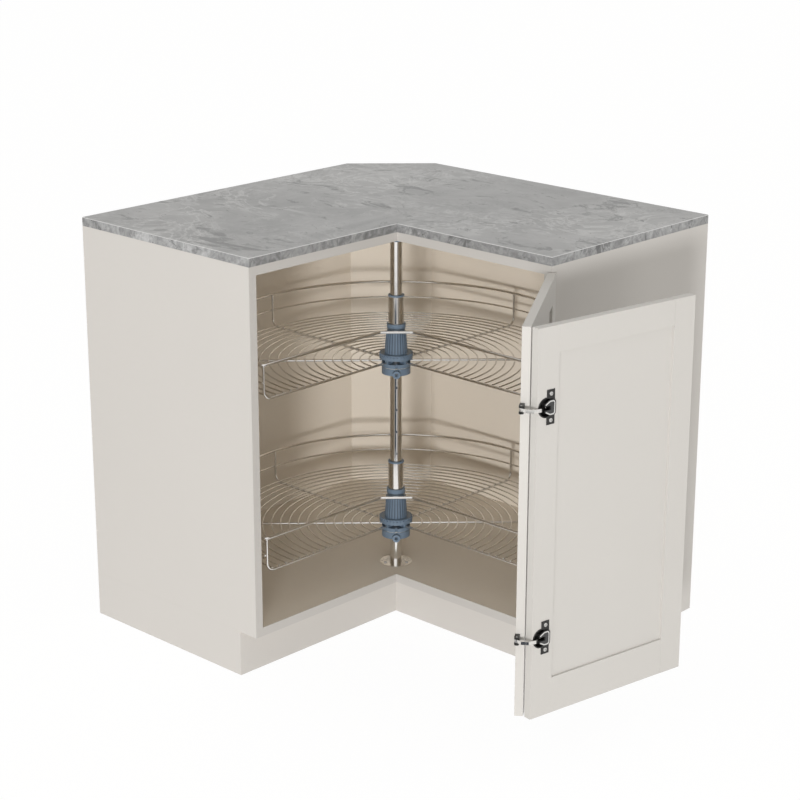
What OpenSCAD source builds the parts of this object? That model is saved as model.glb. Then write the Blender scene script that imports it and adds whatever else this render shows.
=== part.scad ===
// Corner base cabinet with two revolving wire baskets and an L-shaped pair of folding door leaves.
// The origin is the corner of the room on the floor: X runs right along the back wall,
// Y runs into that wall, so the cabinet lies at negative Y, and Z is up.
// The cabinet is the same on both sides of the diagonal Y = -X, but for the doors.

/* [Carcass] */
// Length of each outer side, along its wall
side_length = 900; // [880:5:960]
// Depth of each arm, from the wall to the front edge of its boards
arm_depth = 498; // [490:1:510]
// Thickness of the boards
board = 18; // [16:1:19]
// Height of the plinth, from the floor to the underside of the carcass
plinth_height = 95; // [85:5:120]
// Height of the carcass between plinth and worktop
carcass_height = 757; // [700:5:780]
// How far the plinth stands back from the front edges
toe_recess = 48; // [40:1:60]
// Length cut off each wall side at the back corner
corner_cut = 142; // [120:2:160]
// Radius of the holes in the back panels for wall screws
wall_hole_r = 3; // [2:0.5:4]
// Distance between the two wall screws of each back panel
wall_hole_spacing = 500; // [400:10:520]
// Height of the wall screws above the floor
wall_hole_height = 790; // [600:5:800]

/* [Worktop] */
// Thickness of the worktop
worktop_thickness = 18; // [12:1:40]
// Width of the small bevel along the worktop's top edges
worktop_bevel = 1.2; // [0.5:0.1:3]

/* [Legs] */
// Radius of a leg's flange under the base
leg_flange_r = 30; // [26:1:34]
// Thickness of that flange
leg_flange_h = 5; // [4:0.5:8]
// Outer radius of a leg's tube
leg_tube_r = 17; // [15:0.5:20]
// Length of the tube below the flange
leg_tube_h = 45; // [35:1:50]
// Radius of the threaded stem of the foot
leg_stem_r = 12; // [9:0.5:13]
// Radius of the foot
leg_foot_r = 27; // [20:1:32]
// Thickness of the foot
leg_foot_h = 6; // [4:0.5:10]

/* [Doors] */
// Thickness of a door leaf
leaf_thickness = 16; // [15:0.5:19]
// Gap between the carcass front and a closed leaf
leaf_standoff = 2; // [1.8:0.1:3]
// Gap between the two leaves where they meet
leaf_gap = 2; // [1.5:0.25:4]
// How far a leaf's outer edge stays short of the end panel's outer face
leaf_reveal = 7; // [6.6:0.1:8]
// How far the leaves lap over the base and the top panel
leaf_lap = 7; // [4:1:12]
// Width of the stiles and of the top rail
frame_width = 50; // [48:1:65]
// Width of the bottom rail
bottom_rail_width = 70; // [50:1:90]
// Thickness of a leaf's centre panel
leaf_panel = 6; // [4:0.5:7]
// Depth of the grooves that hold the centre panel
groove_depth = 8; // [6:0.5:10]
// Angle by which the leaves are open, from closed
door_open = 123; // [0:1:165]
// Angle by which leaf B is folded in front of leaf A, from square
door_fold = 48; // [0:1:60]

/* [Door hinges] */
// Height of the upper hinges above the floor
hinge_high = 696; // [600:1:740]
// Height of the lower hinges above the floor
hinge_low = 261; // [200:1:340]
// Length of a cabinet hinge's barrel
barrel_length = 50; // [40:1:70]
// Outer radius of the barrel
barrel_r = 3.6; // [3.4:0.1:3.7]
// Radius of the hinge pins
pin_r = 1.5; // [1.2:0.1:2]
// Radial play between a pin and the part that turns on it
pin_play = 0.05; // [0.02:0.01:0.1]
// Thickness of the hinge plates
plate_thickness = 1.2; // [1:0.1:1.3]
// Radius of a fold hinge's cup
cup_r = 17.5; // [16:0.5:17.5]
// Depth of the cup in the leaf
cup_depth = 11; // [10:0.5:12]
// Distance from the leaf's end to the middle of the cup
cup_inset = 21; // [20.5:0.5:24]
// Distance between the two screws of a cup
cup_screw_spacing = 48; // [46:0.5:52]
// Share of the fold that the hinge's arm turns through
arm_share = 0.6; // [0.55:0.01:0.6]

/* [Carousel] */
// Distance of the post's axis from each arm's front plane
post_inset = 52; // [50:1:60]
// Radius of the post
post_r = 12.5; // [11:0.5:12.5]
// Wall of the post
post_wall = 1.5; // [1:0.1:2]
// Distance between the height dimples of the post
dimple_pitch = 48.5; // [40:0.5:60]
// Height of the lower basket's floor spokes
basket_low = 200.3; // [180:0.1:230]
// Distance between the two baskets
basket_spacing = 362; // [340:1:380]
// Radius of a basket's rim
basket_r = 379; // [340:1:382]
// Height of the rim above the floor spokes
basket_height = 70; // [50:1:90]
// Diameter of the rim rod
rim_d = 6; // [5:0.5:7]
// Diameter of the spokes
spoke_d = 5; // [4:0.5:6]
// Diameter of the rail half way up a basket's side
rail_d = 4; // [3:0.5:5]
// Diameter of the floor rings
ring_d = 3; // [2.5:0.25:4]
// Distance between two floor rings
ring_pitch = 19; // [16:0.5:30]
// How deep crossing rods are welded into each other
weld = 0.5; // [0.3:0.1:0.8]
// Radius at which a spoke bends up into the rim
spoke_bend = 18; // [12:1:24]

/* [Hubs] */
// Radius of the hub's toothed flange
flange_r = 35; // [33:0.5:36]
// Radius of the hub's cone at its foot
cone_foot_r = 24; // [22:0.5:26]
// Radius of the hub's cone at its top
cone_top_r = 21; // [19.5:0.5:22]
// Height of the hub's cone
cone_height = 45; // [40:1:50]
// Radius of the clamp collar and of the hub's cage
collar_r = 30; // [28:0.5:31]
// Height of the clamp collar
collar_height = 14; // [10:1:20]
// Radius of the chrome sleeve
sleeve_r = 16; // [15.5:0.25:16.5]
// Length of the sleeve above the hub
sleeve_length = 60; // [50:1:70]
// Running play between the post and what turns on it
post_play = 0.1; // [0.05:0.01:0.1]
// Number of flutes round the cone
flute_count = 24; // [12:1:30]
// Number of teeth round the flange
tooth_count = 30; // [18:1:36]

/* [Hidden] */
$fn = 64;

// Hair's breadth by which a cut runs past the face that it opens
eps = 0.1;
// Clearance of a screw or dowel in its hole
hole_fit = 0.05;

carcass_top = plinth_height + carcass_height;
base_top = plinth_height + board;
top_underside = carcass_top - board;
inner_side = side_length - board;
toe_line = arm_depth - toe_recess;
// The mitre between a straight back panel and the diagonal one
mitre = board * (sqrt(2) - 1);

post_at = arm_depth - post_inset;

// Closed leaves: inner faces, outer faces, and the ends where they meet at the corner
leaf_in = arm_depth + leaf_standoff;
leaf_out = leaf_in + leaf_thickness;
leaf_end = leaf_out + leaf_gap;
leaf_far = side_length - leaf_reveal;
leaf_low = base_top - leaf_lap;
leaf_high = top_underside + leaf_lap;
leaf_width = leaf_far - leaf_end;

// Axes of the cabinet hinges, of the fold and of the fold hinge's arm, all with the leaves closed
hinge_off = 4;
hinge_x = leaf_far + hinge_off;
hinge_y = -(leaf_in + 2);
fold_axis = leaf_out + leaf_gap / 2;
arm_axis = leaf_in + 3.5;
hinge_heights = [hinge_low, hinge_high];

board_color = [0.87, 0.84, 0.80];
plastic_blue = [0.36, 0.44, 0.53];
chrome = [0.78, 0.78, 0.77];
black = [0.08, 0.08, 0.08];
steel = [0.62, 0.62, 0.63];

// ---------- Helpers ----------

// The same thing on the other arm, across the diagonal
module across() { mirror([1, 1, 0]) children(); }

// Both arms
module both_arms() {
    children();
    across() children();
}

// Turned about the vertical line through x, y
module turn_about(x, y, angle) {
    translate([x, y, 0]) rotate(angle) translate([-x, -y, 0]) children();
}

// From the closed place to the place of leaf A, of leaf B, and of the fold hinge's arm
module on_leaf_a() { turn_about(hinge_x, hinge_y, door_open) children(); }
module on_leaf_b() { on_leaf_a() turn_about(fold_axis, -fold_axis, door_fold) children(); }
module on_arm() {
    on_leaf_a() turn_about(arm_axis, -arm_axis, arm_share * door_fold) children();
}

// The post's axis
module at_post() { translate([post_at, -post_at, 0]) children(); }

// A box from its low corner to its high corner
module block(low, high) { translate(low) cube(high - low); }

// A tube or ring with its foot at z = 0
module ring(outer, inner, height) {
    difference() {
        cylinder(r = outer, h = height);
        translate([0, 0, -eps]) cylinder(r = inner, h = height + 2 * eps);
    }
}

// A wood screw along +Z: its head starts at z = 0 and its shank goes on from there
module screw(head_r, head_h, shank_r, shank_h) {
    difference() {
        cylinder(r = head_r, h = head_h);
        for (a = [0, 90]) rotate(a)
            block([-head_r * 0.7, -0.5, -eps], [head_r * 0.7, 0.5, head_h * 0.6]);
    }
    translate([0, 0, head_h]) cylinder(r = shank_r, h = shank_h);
}

// The hole that the screw's shank needs, from z = 0
module shank_hole(shank_r, depth) {
    translate([0, 0, -eps]) cylinder(r = shank_r + hole_fit, h = depth + eps);
}

// ---------- Carcass ----------

// Dowels join the end and back panels to the edges of the base and the top panel
dowel_r = 4;
dowel_length = 30;
dowel_in_face = 10;

dowel_margin = 60;

// The dowels of one arm: end panel to base and top, back panel to base and top, plinth to end panel
module dowel_places(fit) {
    for (z = [plinth_height + board / 2, carcass_top - board / 2]) {
        for (y = [-arm_depth + dowel_margin, -dowel_margin])
            translate([inner_side + dowel_in_face, y, z]) rotate([0, -90, 0])
                cylinder(r = dowel_r + fit, h = dowel_length);
        for (x = [corner_cut + 2 * dowel_margin, inner_side - 2 * dowel_margin])
            translate([x, -board + dowel_in_face, z]) rotate([90, 0, 0])
                cylinder(r = dowel_r + fit, h = dowel_length);
    }
    for (y = [-arm_depth + 2 * dowel_margin, -2 * dowel_margin])
        translate([inner_side + board / 2, y, plinth_height - dowel_length / 2])
            cylinder(r = dowel_r + fit, h = dowel_length);
}

module dowels() color("burlywood") both_arms() dowel_places(0);

module end_panel() {
    difference() {
        block([inner_side, -arm_depth, plinth_height], [side_length, 0, carcass_top]);
        dowel_places(hole_fit);
    }
}

module end_panel_left() color(board_color) across() end_panel();

module end_panel_right() color(board_color) difference() {
    end_panel();
    for (z = hinge_heights) translate([0, 0, z]) cabinet_plate_screws()
        shank_hole(hinge_screw_r, hinge_screw_depth);
}

wall_hole_middle = (corner_cut + inner_side) / 2;

// The rear back panel stands between the diagonal panel and the end panel
module back_panel() {
    difference() {
        translate([0, 0, plinth_height]) linear_extrude(carcass_height) polygon([
            [corner_cut, 0], [inner_side, 0], [inner_side, -board], [corner_cut + mitre, -board],
        ]);
        dowel_places(hole_fit);
        for (side = [-0.5, 0.5])
            translate([wall_hole_middle + side * wall_hole_spacing, eps, wall_hole_height])
                rotate([90, 0, 0]) cylinder(r = wall_hole_r, h = board + 2 * eps);
    }
}

module back_panel_rear() color(board_color) back_panel();
module back_panel_left() color(board_color) across() back_panel();

module back_panel_diagonal() color(board_color)
    translate([0, 0, plinth_height]) linear_extrude(carcass_height) polygon([
        [0, -corner_cut], [corner_cut, 0], [corner_cut + mitre, -board],
        [board, -corner_cut - mitre],
    ]);

// One L-shaped sheet that fills the inside of the carcass
module inside_sheet() {
    linear_extrude(board) polygon([
        [board, -corner_cut - mitre], [corner_cut + mitre, -board], [inner_side, -board],
        [inner_side, -arm_depth], [arm_depth, -arm_depth], [arm_depth, -inner_side],
        [board, -inner_side],
    ]);
}

module base_panel() color(board_color) difference() {
    translate([0, 0, plinth_height]) inside_sheet();
    both_arms() {
        dowel_places(hole_fit);
        leg_places() leg_screw_places() shank_hole(leg_screw_r, leg_screw_depth);
    }
    at_post() translate([0, 0, base_top]) flange_screw_places()
        rotate([180, 0, 0]) shank_hole(flange_screw_r, flange_screw_depth);
}

module top_panel() color(board_color) difference() {
    translate([0, 0, top_underside]) inside_sheet();
    both_arms() {
        dowel_places(hole_fit);
        worktop_screw_places() shank_hole(worktop_screw_r, board + eps);
    }
    at_post() translate([0, 0, top_underside]) socket_screw_places()
        shank_hole(flange_screw_r, flange_screw_depth);
}

// ---------- Plinth and legs ----------

module plinth_front_right() color(board_color) block(
    [toe_line - board, -toe_line, 0], [inner_side, -toe_line + board, plinth_height]);

module plinth_front_left() color(board_color) block(
    [toe_line - board, -inner_side, 0], [toe_line, -toe_line, plinth_height]);

module plinth_end() {
    difference() {
        block([inner_side, -toe_line, 0], [side_length, 0, plinth_height]);
        dowel_places(hole_fit);
    }
}
module plinth_end_right() color(board_color) plinth_end();
module plinth_end_left() color(board_color) across() plinth_end();

leg_wall_gap = 60;
leg_plinth_gap = 48;
leg_end_gap = 70;
leg_corner_gap = 50;
leg_front = toe_line - board - leg_plinth_gap;
leg_screw_r = 1.75;
leg_screw_depth = 14;
leg_screw_edge = 6;
leg_screw_head_r = 3.5;
leg_screw_head_h = 2;
// How far a foot can still be screwed in
leg_travel = 10;
clip_thickness = 3;
clip_height = 14;
clip_arc = 240;
clip_play = 0.2;
clip_half_width = 9;
// Height of the clip's foot above the floor
clip_lift = 52;

// Legs of one arm: two at the back, two behind the plinth
front_leg_x = [toe_line + leg_corner_gap, side_length - leg_end_gap];
module back_leg_places() {
    for (x = [corner_cut + leg_wall_gap, side_length - leg_end_gap])
        translate([x, -leg_wall_gap, plinth_height]) children();
}
module front_leg_places() {
    for (x = front_leg_x) translate([x, -leg_front, plinth_height]) children();
}
module leg_places() {
    back_leg_places() children();
    front_leg_places() children();
}

// Two screws hold each flange; a screw is driven upward
module leg_screw_places() {
    for (a = [45, 225]) rotate(a) translate([leg_flange_r - leg_screw_edge, 0, 0]) children();
}

module leg_socket() {
    difference() {
        union() {
            translate([0, 0, -leg_flange_h]) cylinder(r = leg_flange_r, h = leg_flange_h);
            translate([0, 0, -leg_flange_h - leg_tube_h]) cylinder(r = leg_tube_r, h = leg_tube_h);
        }
        translate([0, 0, -leg_flange_h - leg_tube_h - eps])
            cylinder(r = leg_stem_r + hole_fit, h = leg_tube_h + eps);
        leg_screw_places() translate([0, 0, -leg_flange_h])
            shank_hole(leg_screw_r, leg_flange_h + eps);
    }
}

module leg_sockets() color(black) both_arms() leg_places() leg_socket();

module leg_foot() {
    stem_h = plinth_height - leg_foot_h - leg_flange_h - leg_travel;
    translate([0, 0, -plinth_height]) {
        cylinder(r = leg_foot_r, h = leg_foot_h);
        translate([0, 0, leg_foot_h]) cylinder(r = leg_stem_r, h = stem_h);
    }
}

module leg_feet() color(black) both_arms() leg_places() leg_foot();

module leg_screws() color(steel) both_arms() leg_places() leg_screw_places()
    translate([0, 0, -leg_flange_h - leg_screw_head_h])
        screw(leg_screw_head_r, leg_screw_head_h, leg_screw_r, leg_flange_h + leg_screw_depth - 1);

// A spring clip grips each front leg and is fixed to the plinth board in front of it
module plinth_clip() {
    reach = toe_line - board - leg_front;
    grip = leg_tube_r + clip_play;
    translate([0, 0, clip_lift - plinth_height]) {
        rotate(90 - clip_arc / 2 - 180) rotate_extrude(angle = clip_arc)
            translate([grip, 0]) square([clip_thickness, clip_height]);
        block([-clip_half_width, -reach, 0], [clip_half_width, -grip - clip_thickness / 2, clip_height]);
    }
}

module plinth_clips() color(black) both_arms() front_leg_places() plinth_clip();

// ---------- Worktop ----------

worktop_screw_r = 2;
worktop_screw_bite = 12;
worktop_screw_head_r = 4.5;
worktop_screw_head_h = 2.5;
worktop_screw_inset = 90;
worktop_screw_front = 60;
worktop_screw_back = 300;

// Three screws for each arm, from below through the top panel
module worktop_screw_places() {
    end = side_length - worktop_screw_inset;
    for (p = [[end, -worktop_screw_inset], [end, worktop_screw_front - arm_depth],
            [arm_depth + worktop_screw_front, -worktop_screw_back]])
        translate([p[0], p[1], top_underside]) children();
}

module worktop_screws() color(steel) both_arms() worktop_screw_places()
    translate([0, 0, -worktop_screw_head_h])
        screw(worktop_screw_head_r, worktop_screw_head_h, worktop_screw_r, board + worktop_screw_bite - 1);

worktop_top = carcass_top + worktop_thickness;

module worktop() color([0.58, 0.58, 0.58]) difference() {
    translate([0, 0, carcass_top]) linear_extrude(worktop_thickness) polygon([
        [0, -corner_cut], [corner_cut, 0], [side_length, 0], [side_length, -arm_depth],
        [arm_depth, -arm_depth], [arm_depth, -side_length], [0, -side_length],
    ]);
    // The bevels along the top edges of the ends and the fronts
    bevel = worktop_bevel * sqrt(2);
    both_arms() {
        translate([side_length, -side_length / 2, worktop_top]) rotate([0, 45, 0])
            cube([bevel, 2 * side_length, bevel], center = true);
        translate([side_length / 2 + arm_depth - worktop_bevel, -arm_depth, worktop_top])
            rotate([45, 0, 0]) cube([side_length, bevel, bevel], center = true);
    }
    both_arms() worktop_screw_places() translate([0, 0, board])
        shank_hole(worktop_screw_r, worktop_screw_bite);
}

// ---------- Post ----------

floor_flange_r = 34;
floor_flange_h = 3;
floor_flange_rim = 0.8;
// Where the flange's slope ends at its flat middle
floor_flange_flat = 21;
spigot_h = 20;
flange_screw_r = 1.75;
flange_screw_depth = 13;
flange_screw_ring = 26;
flange_head_r = 3.4;
flange_head_h = 1.5;
socket_h = 16;
socket_wall = 5;
socket_flange_h = 4;
socket_roof = 2;
socket_head_h = 2;
socket_screw_ring = 24;
dimple_r = 3;
dimple_depth = 0.8;
// From the upper collar down to the first dimple
dimple_drop = 30.6;
post_bottom = base_top + floor_flange_h;

module flange_screw_places() {
    for (a = [15, 135, 255]) rotate(a) translate([flange_screw_ring, 0, 0]) children();
}
module socket_screw_places() {
    for (a = [15, 135, 255]) rotate(a) translate([socket_screw_ring, 0, 0]) children();
}

// Dimples face the front corner, between the two baskets
module post() color(chrome) at_post() difference() {
    translate([0, 0, post_bottom]) cylinder(r = post_r, h = top_underside - socket_roof - post_bottom);
    translate([0, 0, post_bottom - eps])
        cylinder(r = post_r - post_wall, h = carcass_height);
    for (n = [0 : 3]) rotate(-45)
        translate([post_r - dimple_depth, 0, collar_foot(1) - dimple_drop - n * dimple_pitch])
            rotate([0, 90, 0]) cylinder(r = dimple_r, h = 5);
}

// A pressed dish that rises from its rim to the flat that the post stands on
module floor_flange() color(chrome) at_post() translate([0, 0, base_top]) difference() {
    union() {
        cylinder(r = floor_flange_r, h = floor_flange_rim);
        translate([0, 0, floor_flange_rim]) cylinder(r1 = floor_flange_r, r2 = floor_flange_flat,
            h = floor_flange_h - floor_flange_rim);
        // The spigot inside the post's foot
        cylinder(r = post_r - post_wall - hole_fit, h = floor_flange_h + spigot_h);
    }
    flange_screw_places() {
        shank_hole(flange_screw_r, floor_flange_h + eps);
        translate([0, 0, floor_flange_h - flange_head_h]) cylinder(r = flange_head_r + eps, h = 2);
    }
}

module floor_flange_screws() color(steel) at_post() translate([0, 0, base_top])
    flange_screw_places() translate([0, 0, floor_flange_h]) rotate([180, 0, 0])
        screw(flange_head_r, flange_head_h, flange_screw_r,
            floor_flange_h - flange_head_h + flange_screw_depth - 1);

module top_socket() color(plastic_blue) at_post()
    translate([0, 0, top_underside - socket_h]) difference() {
        union() {
            cylinder(r = post_r + socket_wall, h = socket_h);
            translate([0, 0, socket_h - socket_flange_h])
                cylinder(r = floor_flange_r - 2, h = socket_flange_h);
        }
        translate([0, 0, -eps]) cylinder(r = post_r + hole_fit, h = socket_h - socket_roof + eps);
        socket_screw_places() translate([0, 0, socket_h - socket_flange_h])
            shank_hole(flange_screw_r, socket_flange_h + eps);
    }

module top_socket_screws() color(steel) at_post() translate([0, 0, top_underside])
    socket_screw_places() translate([0, 0, -socket_flange_h - socket_head_h])
        screw(flange_head_r, socket_head_h, flange_screw_r, socket_flange_h + flange_screw_depth - 1);
// ---------- Hubs ----------

// Heights along a hub, from its foot: base ring, cage round the spokes, flange, cone, neck, top ring
base_ring_h = 8.3;
cage_h = 9.2;
flange_h = 11;
neck_h = 8.5;
top_ring_h = 9.5;
flange_foot = base_ring_h + cage_h;
cone_foot = flange_foot + flange_h;
cone_head = cone_foot + cone_height;
ring_foot = cone_head + neck_h;
hub_h = ring_foot + top_ring_h;

// The spokes of basket 0 or 1 lie on the base ring of its hub; the hub runs on a washer on the collar
running_gap = 0.3;
washer_h = 1.2;
function spoke_height(n) = basket_low + n * basket_spacing;
function hub_foot(n) = spoke_height(n) - spoke_d / 2 - base_ring_h;
function collar_foot(n) = hub_foot(n) - running_gap - washer_h - collar_height;

lug_r = 8.3;
lug_height = 5;
lug_reach = 9;
lug_root = 4;
split_w = 2;
collar_screw_r = 2.4;
collar_screw_hex = 1.3;
lug_hole_r = 3.6;
lug_hole_depth = 5;

// The clamp collar grips the post: a split ring with a round lug towards the front corner
module collar(n) color(plastic_blue) at_post() translate([0, 0, collar_foot(n)]) rotate(-45)
    difference() {
        union() {
            cylinder(r = collar_r, h = collar_height);
            translate([collar_r - lug_root, 0, lug_height]) rotate([0, 90, 0])
                cylinder(r = lug_r, h = lug_root + lug_reach);
        }
        translate([0, 0, -lug_r]) cylinder(r = post_r + hole_fit, h = collar_height + 2 * lug_r);
        // The split at the back
        block([-collar_r - eps, -split_w / 2, -eps],
            [-post_r + eps, split_w / 2, collar_height + eps]);
        translate([post_r - eps, 0, lug_height]) rotate([0, 90, 0])
            cylinder(r = collar_screw_r + hole_fit, h = collar_r + lug_reach);
        translate([collar_r + lug_reach - lug_hole_depth, 0, lug_height]) rotate([0, 90, 0])
            cylinder(r = lug_hole_r, h = lug_hole_depth + eps);
    }

module collar_lower() collar(0);
module collar_upper() collar(1);

// A grub screw in each lug bears on the post
module collar_screws() color(steel) for (n = [0, 1])
    at_post() translate([0, 0, collar_foot(n) + lug_height]) rotate(-45) rotate([0, 90, 0])
        difference() {
            translate([0, 0, post_r]) cylinder(r = collar_screw_r, h = collar_r - post_r);
            translate([0, 0, collar_r - 3]) cylinder(r = collar_screw_hex, h = 3 + eps, $fn = 6);
        }

module bearing_washer(n) color([0.9, 0.9, 0.88]) at_post()
    translate([0, 0, collar_foot(n) + collar_height]) ring(collar_r - 2, post_r + 1, washer_h);
module bearing_washer_lower() bearing_washer(0);
module bearing_washer_upper() bearing_washer(1);

bore_r = post_r + post_play;
rib_start = bore_r + 2;
rib_w = 8;
neck_r = cone_top_r - 2.5;
top_ring_r = cone_top_r - 1.5;
tooth_depth = 2.5;
tooth_gap = 3;
tooth_h = 4;
flute_depth = 0.9;
flute_w = 2.2;
flute_margin = 3;
cone_lean = atan((cone_foot_r - cone_top_r) / cone_height);
// How deep the sleeve stands in the hub
sleeve_seat = top_ring_h + 4;
// A notch in the base ring above the lug
notch_w = 5;
notch_depth = 6;

// Directions of the seven spokes
spoke_angles = [0 : 45 : 270];

// The hub turns on the post and carries the spokes' ends between ribs
module hub(n) color(plastic_blue) at_post() translate([0, 0, hub_foot(n)]) difference() {
    union() {
        cylinder(r = collar_r, h = base_ring_h);
        for (a = spoke_angles) rotate(a)
            block([rib_start, -rib_w / 2, 0], [collar_r - 0.5, rib_w / 2, flange_foot + eps]);
        translate([0, 0, flange_foot]) cylinder(r = flange_r, h = flange_h);
        translate([0, 0, cone_foot]) cylinder(r1 = cone_foot_r, r2 = cone_top_r, h = cone_height);
        translate([0, 0, cone_head]) cylinder(r = neck_r, h = neck_h);
        translate([0, 0, ring_foot]) cylinder(r = top_ring_r, h = top_ring_h);
    }
    translate([0, 0, -eps]) cylinder(r = bore_r, h = hub_h);
    translate([0, 0, hub_h - sleeve_seat]) cylinder(r = sleeve_r + hole_fit, h = sleeve_seat + eps);
    rotate(-45) block([collar_r - notch_depth, -notch_w / 2, -eps],
        [collar_r + eps, notch_w / 2, base_ring_h + eps]);
    for (k = [0 : tooth_count - 1]) rotate(360 * (k + 0.5) / tooth_count)
        block([flange_r - tooth_depth, -tooth_gap / 2, cone_foot - tooth_h],
            [flange_r + eps, tooth_gap / 2, cone_foot + eps]);
    for (k = [0 : flute_count - 1]) rotate(360 * (k + 0.5) / flute_count)
        translate([cone_foot_r - flute_depth, 0, cone_foot + flute_margin])
            rotate([0, -cone_lean, 0])
                block([0, -flute_w / 2, 0], [4, flute_w / 2, cone_height - 2 * flute_margin]);
    for (a = spoke_angles) rotate(a)
        translate([spoke_start - hole_fit, 0, spoke_height(n) - hub_foot(n)])
            rotate([0, 90, 0]) cylinder(r = spoke_d / 2 + hole_fit, h = collar_r);
}

module hub_lower() hub(0);
module hub_upper() hub(1);

// The chrome sleeve stands in the hub's top ring and carries a thin cap
module sleeve(n) color(chrome) at_post() translate([0, 0, hub_foot(n) + hub_h - sleeve_seat])
    ring(sleeve_r, post_r + 1, sleeve_seat + sleeve_length);
module sleeve_lower() sleeve(0);
module sleeve_upper() sleeve(1);

cap_h = 3.5;
cap_lid = 1;
cap_wall = 0.8;
module sleeve_cap(n) color(plastic_blue) at_post()
    translate([0, 0, hub_foot(n) + hub_h + sleeve_length - cap_h + cap_lid]) difference() {
        cylinder(r = sleeve_r + cap_wall, h = cap_h);
        translate([0, 0, -eps]) cylinder(r = sleeve_r + hole_fit, h = cap_h - cap_lid + eps);
        translate([0, 0, -eps]) cylinder(r = bore_r, h = cap_h + 2 * eps);
    }
module sleeve_cap_lower() sleeve_cap(0);
module sleeve_cap_upper() sleeve_cap(1);

// ---------- Baskets ----------

spoke_start = rib_start + 3;
// Where the rim's two front runs bend into the chord that passes in front of the hub
chord_bend = 49;
chord_bend_r = 8;
// The rods of the rim run this far into its bends, which are thicker by the swell
rod_reach = 0.8;
bend_swell = 0.2;
bend_run = chord_bend_r * tan(22.5);
rim_corner = 12;
// The corner touches both the round of the rim and its straight side
corner_lean = asin(rim_corner / (basket_r - rim_corner));
corner_x = (basket_r - rim_corner) * cos(corner_lean);
// Height of the rail, as a share of the rim's height
rail_share = 0.5;
first_ring = basket_r - spoke_bend - 1;
last_ring = flange_r + 14;

// One floor spoke with its upright, along +X
module spoke() {
    out = basket_r - rim_d / 2 - spoke_d / 2 + weld;
    translate([spoke_start, 0, 0]) rotate([0, 90, 0])
        cylinder(d = spoke_d, h = out - spoke_bend - spoke_start);
    translate([out - spoke_bend, 0, spoke_bend]) rotate([90, 0, 0]) rotate(-90)
        rotate_extrude(angle = 90) translate([spoke_bend, 0]) circle(d = spoke_d);
    translate([out, 0, spoke_bend]) cylinder(d = spoke_d, h = basket_height - spoke_bend);
}

// Three quarters of a circle of rod
module hoop(r, z, d) {
    translate([0, 0, z]) rotate_extrude(angle = 270) translate([r, 0]) circle(d = d);
}

// A bend of the rim rod: an arc of the given radius about x, y, a hair thicker than the rod
module rim_bend(x, y, radius, start, turn) {
    translate([x, y, 0]) rotate(start) rotate_extrude(angle = turn)
        translate([radius, 0]) circle(d = rim_d + bend_swell);
}

// One side of the rim's front: rounded corner, straight run, and bend into the chord
module rim_side() {
    run_start = chord_bend + bend_run - rod_reach;
    rim_bend(corner_x, rim_corner, rim_corner, -90, 90 + corner_lean);
    translate([run_start, 0, 0]) rotate([0, 90, 0])
        cylinder(d = rim_d, h = corner_x + rod_reach - run_start);
    rim_bend(chord_bend + bend_run, -chord_bend_r, chord_bend_r, 90, 45);
}

module rim() {
    half_chord = chord_bend / sqrt(2) - bend_run + rod_reach;
    hoop_lean = corner_lean - rod_reach / basket_r * 180 / PI;
    translate([0, 0, basket_height]) {
        rotate(hoop_lean) rotate_extrude(angle = 270 - 2 * hoop_lean)
            translate([basket_r, 0]) circle(d = rim_d);
        rim_side();
        mirror([1, 1, 0]) rim_side();
        rotate(-45) translate([chord_bend / sqrt(2), 0, 0]) rotate([90, 0, 0])
            cylinder(d = rim_d, h = 2 * half_chord, center = true);
    }
}

module basket(n) color(chrome) at_post() translate([0, 0, spoke_height(n)]) {
    for (a = spoke_angles) rotate(a) spoke();
    for (r = [first_ring : -ring_pitch : last_ring])
        hoop(r, (spoke_d + ring_d) / 2 - weld, ring_d);
    hoop(basket_r - rim_d / 2 + rail_d / 2, rail_share * basket_height, rail_d);
    rim();
}

module basket_lower() basket(0);
module basket_upper() basket(1);

// ---------- Door leaves ----------

// Leaf A when closed: it hangs on the right end panel and covers the right arm
module leaf_stiles() {
    for (x = [leaf_end, leaf_far - frame_width])
        block([x, -leaf_out, leaf_low], [x + frame_width, -leaf_in, leaf_high]);
}

module leaf_rails() {
    from = leaf_end + frame_width;
    to = leaf_far - frame_width;
    block([from, -leaf_out, leaf_low], [to, -leaf_in, leaf_low + bottom_rail_width]);
    block([from, -leaf_out, leaf_high - frame_width], [to, -leaf_in, leaf_high]);
}

// The centre panel, larger than its opening by the grooves
module leaf_centre(fit) {
    x = frame_width - groove_depth;
    mid = (leaf_in + leaf_out) / 2;
    half = leaf_panel / 2 + fit;
    block(
        [leaf_end + x - fit, -mid - half, leaf_low + bottom_rail_width - groove_depth - fit],
        [leaf_far - x + fit, -mid + half, leaf_high - x + fit]);
}

module leaf_a_stiles() color(board_color) on_leaf_a() difference() {
    leaf_stiles();
    leaf_centre(hole_fit);
    for (z = hinge_heights) translate([0, 0, z]) {
        door_plate_body(hole_fit);
        door_plate_screws() rotate([0, -90, 0]) shank_hole(hinge_screw_r, hinge_screw_depth);
        block_screw_places() rotate([0, 90, 0]) shank_hole(block_screw_r, block_screw_depth);
    }
}

module leaf_a_rails() color(board_color) on_leaf_a() difference() {
    leaf_rails();
    leaf_centre(hole_fit);
}

module leaf_a_panel() color(board_color) on_leaf_a() leaf_centre(0);

// Leaf B when closed is leaf A across the diagonal
module leaf_b_stiles() color(board_color) on_leaf_b() across() difference() {
    leaf_stiles();
    leaf_centre(hole_fit);
    for (z = hinge_heights) translate([0, 0, z]) {
        at_cup() translate([0, 0, -eps]) cylinder(r = cup_r + hole_fit, h = cup_depth + eps);
        at_cup() cup_screw_places() shank_hole(cup_screw_r, cup_screw_depth);
    }
}

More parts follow.
